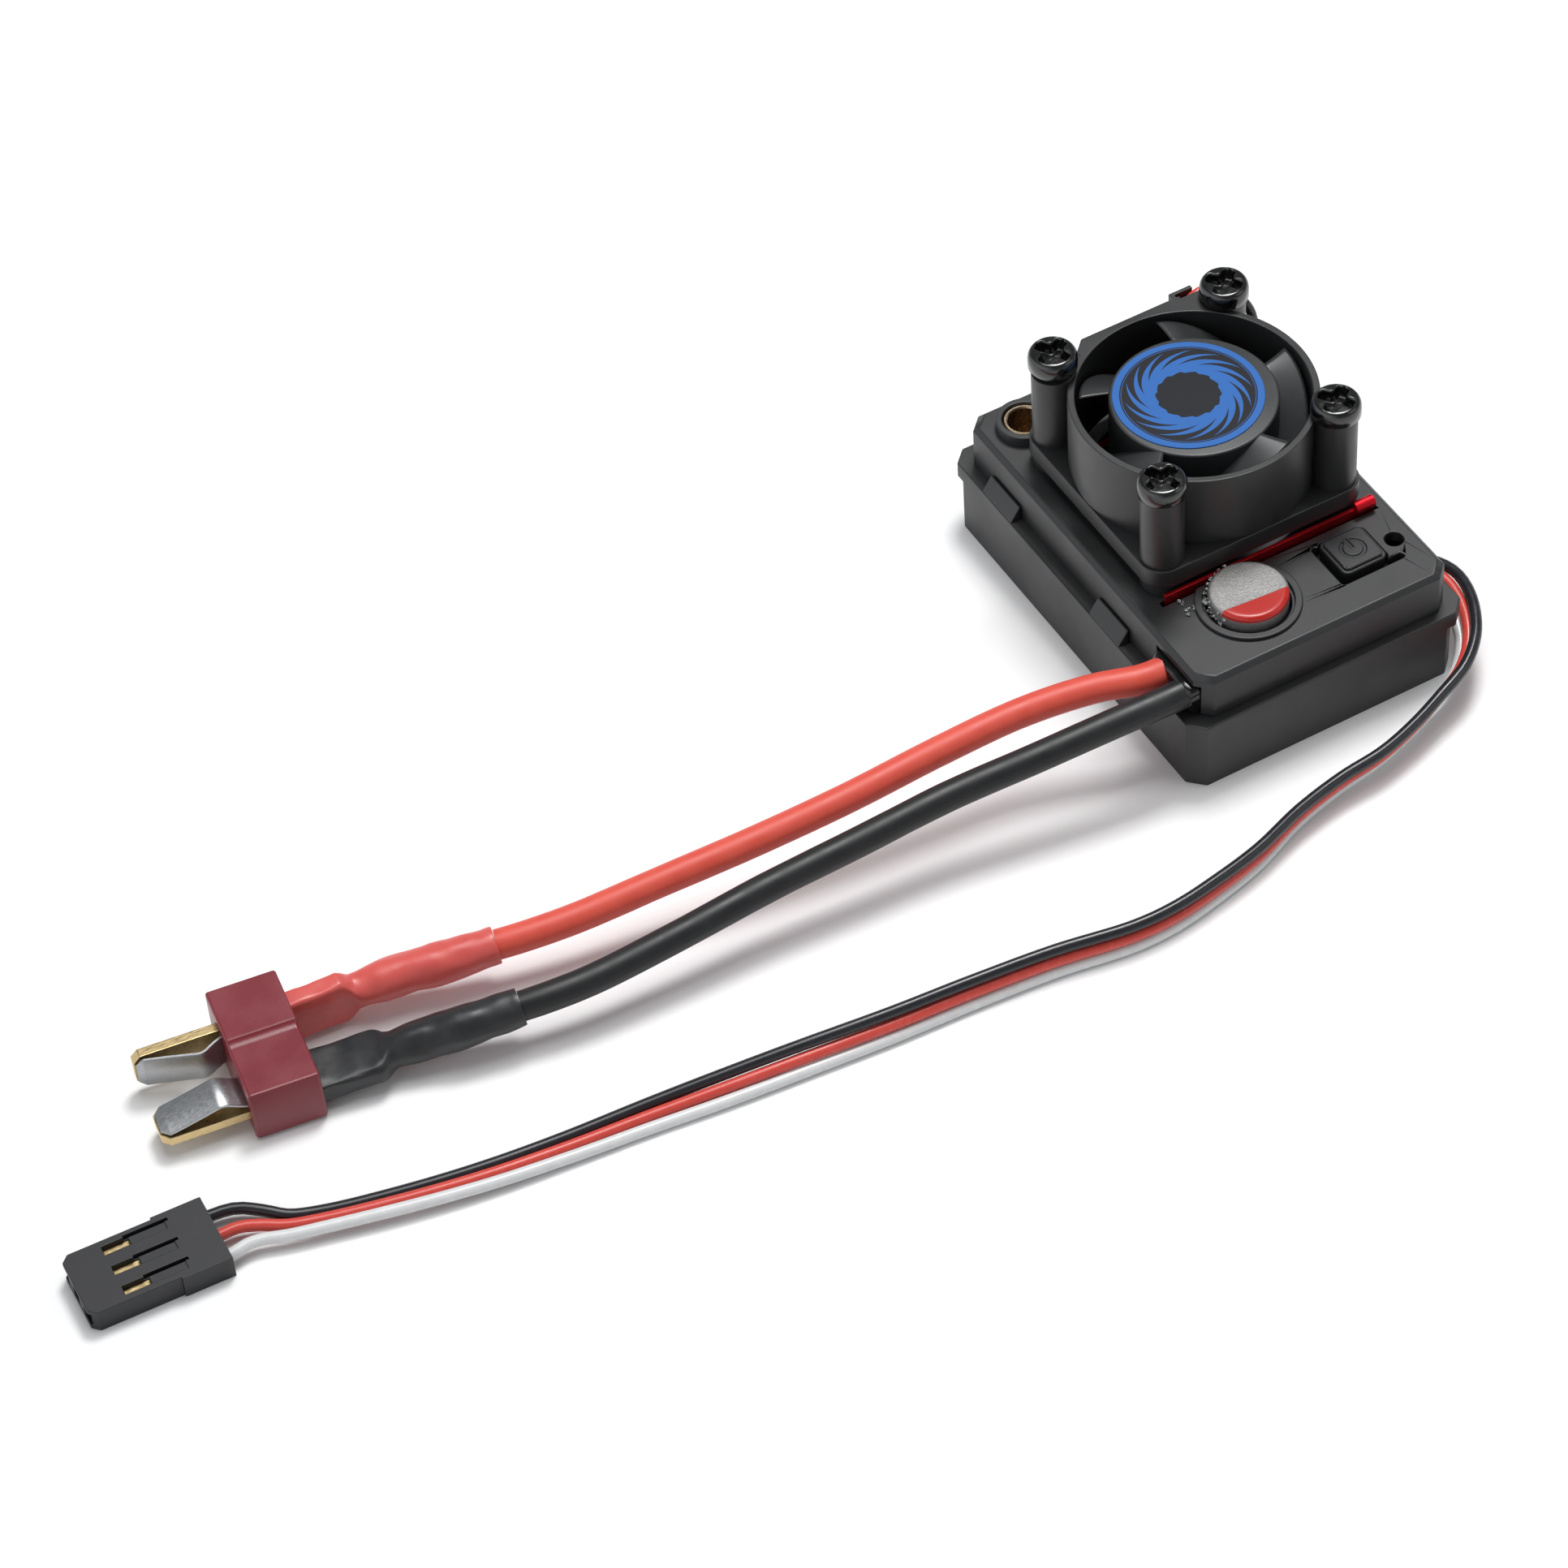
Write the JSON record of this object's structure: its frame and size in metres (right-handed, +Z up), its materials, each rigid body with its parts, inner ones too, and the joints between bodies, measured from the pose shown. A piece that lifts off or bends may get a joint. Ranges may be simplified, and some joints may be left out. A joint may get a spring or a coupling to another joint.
{
  "type": "electronic speed controller",
  "caption": "Brushless motor speed controller with fan-cooled heat sink, motor sockets, battery leads with a T-plug and a receiver lead.",
  "frame": {"origin": "centre of the case's underside, at table height", "axes": "+Z up; +Y along the case towards the motor sockets; +X across the case towards the receiver lead's side, so the battery leads leave at -X"},
  "size_m": [0.1552, 0.0606, 0.0282],
  "materials": {
    "case_plastic": "fine-grain moulded black nylon",
    "cover_plastic": "fine-grain moulded black nylon",
    "fan_plastic": "satin moulded black PBT",
    "button_plastic": "moulded black, satin",
    "red_anodised": "red anodised extrusion, satin",
    "pad_silicone": "soft grey thermal pad",
    "board_green": "glass-epoxy board with green solder mask",
    "chip_epoxy": "black moulding compound",
    "pin_gold": "gold-flashed brass",
    "switch_plastic": "black thermoplastic",
    "plunger_plastic": "brown thermoplastic",
    "led_lens": "milky lens",
    "can_aluminium": "drawn can, sandy satin",
    "seal_rubber": "moulded rubber bung",
    "tinned_wire": "tinned steel",
    "clear_glue": "clear set glue",
    "socket_brass": "turned, bright inside",
    "terminal_copper": "bare copper",
    "potting": "glossy black potting",
    "header_nylon": "natural nylon",
    "magnet": "bonded ferrite",
    "shaft_steel": "ground steel",
    "bearing_bronze": "sintered bronze",
    "stator_steel": "stacked laminations",
    "winding_copper": "enamelled copper wire",
    "label_print": null,
    "black_screw": "black oxide, glossy",
    "red_insulation": "silicone insulation, red",
    "black_insulation": "silicone insulation, black",
    "red_shrink": "shrunk polyolefin sleeve, red",
    "black_shrink": "shrunk polyolefin sleeve, black",
    "plug_nylon": "dark red glass-filled nylon",
    "spring_steel": "tinned spring strip",
    "wire_black": "PVC insulation, black",
    "wire_red": "PVC insulation, red",
    "wire_white": "PVC insulation, white",
    "receiver_plastic": "moulded black nylon"
  },
  "bodies": {
    "case": {"bottom_case": "case_plastic", "top_cover": "cover_plastic", "heat_sink": "red_anodised", "thermal_pad": "pad_silicone", "power_board": "board_green", "power_transistors": "chip_epoxy", "driver_chips": "chip_epoxy", "control_board": "board_green", "controller_chip": "chip_epoxy", "board_pins": "pin_gold", "button_switch": "switch_plastic", "status_led": "led_lens", "capacitor_can": "can_aluminium", "capacitor_seal": "seal_rubber", "capacitor_legs": "tinned_wire", "capacitor_glue": "clear_glue", "motor_sockets": "socket_brass", "battery_terminals": "terminal_copper", "lead_seal": "potting", "receiver_header": "header_nylon", "receiver_lead_seal": "potting", "fan_frame": "fan_plastic", "fan_bearing": "bearing_bronze", "fan_stator": "stator_steel", "fan_coils": "winding_copper", "fan_circuit_board": "board_green", "fan_screws": "black_screw", "fan_wire_red": "wire_red", "fan_wire_black": "wire_black", "battery_lead_red": "red_insulation", "battery_lead_black": "black_insulation", "heat_shrink_red": "red_shrink", "heat_shrink_black": "black_shrink", "tplug_housing": "plug_nylon", "tplug_blades": "pin_gold", "tplug_springs": "spring_steel", "receiver_wire_black": "wire_black", "receiver_wire_red": "wire_red", "receiver_wire_white": "wire_white", "receiver_plug": "receiver_plastic", "receiver_contacts": "pin_gold"},
    "rotor": {"fan_rotor": "fan_plastic", "fan_magnet_ring": "magnet", "fan_shaft": "shaft_steel", "fan_label": "label_print"},
    "button": {"power_button": "button_plastic", "switch_plunger": "plunger_plastic"}
  },
  "joints": [
    {"name": "fan_spin", "type": "hinge", "parent": "case", "child": "rotor", "pos_m": [0, 0.0022, 0.02], "axis": [0, 0, 1], "continuous": true},
    {"name": "button_press", "type": "slide", "parent": "case", "child": "button", "axis": [0, 0, -1], "range_m": [0, 0.0005], "stiffness_N_per_m": 600}
  ]
}
